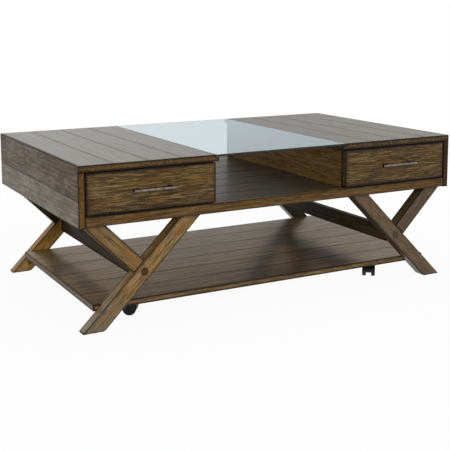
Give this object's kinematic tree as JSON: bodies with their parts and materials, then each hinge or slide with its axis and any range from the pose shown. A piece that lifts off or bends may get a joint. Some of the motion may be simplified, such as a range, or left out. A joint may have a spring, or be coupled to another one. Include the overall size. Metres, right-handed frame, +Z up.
{
  "type": "coffee table",
  "caption": "Low planked coffee table with a loose glass centre over an open bay, a drawer at each end, slanted X legs and a lower shelf on swivel casters.",
  "frame": {"origin": "on the floor under the centre of the whole outline, the drawer pulls included", "axes": "+X along the length, to the right as seen from the front; -Y towards the drawer fronts; +Z up"},
  "size_m": [1.27, 0.787, 0.472],
  "materials": {
    "stained_oak": "stained and satin lacquered oak veneer with dark burnished edges",
    "drawer_poplar": "stained poplar, thin lacquer",
    "walnut_plug": "dark stained end plug",
    "clear_glass": "clear tempered glass with polished edges",
    "clear_pad": "soft clear vinyl",
    "aged_nickel": "aged nickel",
    "zinc_steel": "zinc plated",
    "black_nylon": "moulded nylon"
  },
  "bodies": {
    "table": {"left_top": "stained_oak", "left_end_panel": "stained_oak", "left_partition": "stained_oak", "left_back_panel": "stained_oak", "left_stretcher": "stained_oak", "left_case_slides": "zinc_steel", "right_top": "stained_oak", "right_end_panel": "stained_oak", "right_partition": "stained_oak", "right_back_panel": "stained_oak", "right_stretcher": "stained_oak", "right_case_slides": "zinc_steel", "case_floor": "stained_oak", "front_rail": "stained_oak", "back_rail": "stained_oak", "shelf": "stained_oak", "front_left_leg": "stained_oak", "front_left_brace": "stained_oak", "front_right_leg": "stained_oak", "front_right_brace": "stained_oak", "back_left_leg": "stained_oak", "back_left_brace": "stained_oak", "back_right_leg": "stained_oak", "back_right_brace": "stained_oak", "leg_plugs": "walnut_plug", "stretcher_bolts": "zinc_steel", "shelf_brackets": "zinc_steel", "caster_plates": "zinc_steel", "glass_pads": "clear_pad"},
    "glass": {"glass": "clear_glass"},
    "left_drawer": {"left_drawer_front": "stained_oak", "left_drawer_box_front": "drawer_poplar", "left_drawer_box_back": "drawer_poplar", "left_drawer_left_side": "drawer_poplar", "left_drawer_right_side": "drawer_poplar", "left_drawer_bottom": "drawer_poplar", "left_drawer_pull": "aged_nickel", "left_drawer_slides": "zinc_steel"},
    "left_middle_slides": {"left_middle_slides": "zinc_steel"},
    "right_drawer": {"right_drawer_front": "stained_oak", "right_drawer_box_front": "drawer_poplar", "right_drawer_box_back": "drawer_poplar", "right_drawer_left_side": "drawer_poplar", "right_drawer_right_side": "drawer_poplar", "right_drawer_bottom": "drawer_poplar", "right_drawer_pull": "aged_nickel", "right_drawer_slides": "zinc_steel"},
    "right_middle_slides": {"right_middle_slides": "zinc_steel"},
    "front_left_caster": {"front_left_caster_hood": "black_nylon"},
    "front_left_wheels": {"front_left_caster_wheels": "black_nylon", "front_left_caster_axle": "zinc_steel"},
    "front_right_caster": {"front_right_caster_hood": "black_nylon"},
    "front_right_wheels": {"front_right_caster_wheels": "black_nylon", "front_right_caster_axle": "zinc_steel"},
    "back_left_caster": {"back_left_caster_hood": "black_nylon"},
    "back_left_wheels": {"back_left_caster_wheels": "black_nylon", "back_left_caster_axle": "zinc_steel"},
    "back_right_caster": {"back_right_caster_hood": "black_nylon"},
    "back_right_wheels": {"back_right_caster_wheels": "black_nylon", "back_right_caster_axle": "zinc_steel"}
  },
  "joints": [
    {"name": "glass_lift", "type": "slide", "parent": "table", "child": "glass", "axis": [0, 0, 1], "range_m": [0, 0.06]},
    {"name": "left_drawer_slide", "type": "slide", "parent": "table", "child": "left_drawer", "axis": [0, -1, 0], "range_m": [0, 0.5]},
    {"name": "left_middle_slide", "type": "slide", "parent": "table", "child": "left_middle_slides", "axis": [0, -1, 0], "range_m": [0, 0.25]},
    {"name": "right_drawer_slide", "type": "slide", "parent": "table", "child": "right_drawer", "axis": [0, -1, 0], "range_m": [0, 0.5]},
    {"name": "right_middle_slide", "type": "slide", "parent": "table", "child": "right_middle_slides", "axis": [0, -1, 0], "range_m": [0, 0.25]},
    {"name": "front_left_swivel", "type": "hinge", "parent": "table", "child": "front_left_caster", "pos_m": [-0.422, -0.2355, 0.03], "axis": [0, 0, 1], "continuous": true},
    {"name": "front_left_roll", "type": "hinge", "parent": "front_left_caster", "child": "front_left_wheels", "pos_m": [-0.43586, -0.2275, 0.02], "axis": [0.5, 0.866, 0], "continuous": true},
    {"name": "front_right_swivel", "type": "hinge", "parent": "table", "child": "front_right_caster", "pos_m": [0.422, -0.2355, 0.03], "axis": [0, 0, 1], "continuous": true},
    {"name": "front_right_roll", "type": "hinge", "parent": "front_right_caster", "child": "front_right_wheels", "pos_m": [0.41215, -0.24811, 0.02], "axis": [-0.788, 0.6157, 0], "continuous": true},
    {"name": "back_left_swivel", "type": "hinge", "parent": "table", "child": "back_left_caster", "pos_m": [-0.422, 0.2605, 0.03], "axis": [0, 0, 1], "continuous": true},
    {"name": "back_left_roll", "type": "hinge", "parent": "back_left_caster", "child": "back_left_wheels", "pos_m": [-0.40696, 0.25503, 0.02], "axis": [-0.342, -0.9397, 0], "continuous": true},
    {"name": "back_right_swivel", "type": "hinge", "parent": "table", "child": "back_right_caster", "pos_m": [0.422, 0.2605, 0.03], "axis": [0, 0, 1], "continuous": true},
    {"name": "back_right_roll", "type": "hinge", "parent": "back_right_caster", "child": "back_right_wheels", "pos_m": [0.42614, 0.24505, 0.02], "axis": [-0.9659, -0.2588, 0], "continuous": true}
  ],
  "couplings": [
    {"joint": "left_middle_slide", "follows": "left_drawer_slide", "ratio": 0.5},
    {"joint": "right_middle_slide", "follows": "right_drawer_slide", "ratio": 0.5}
  ]
}
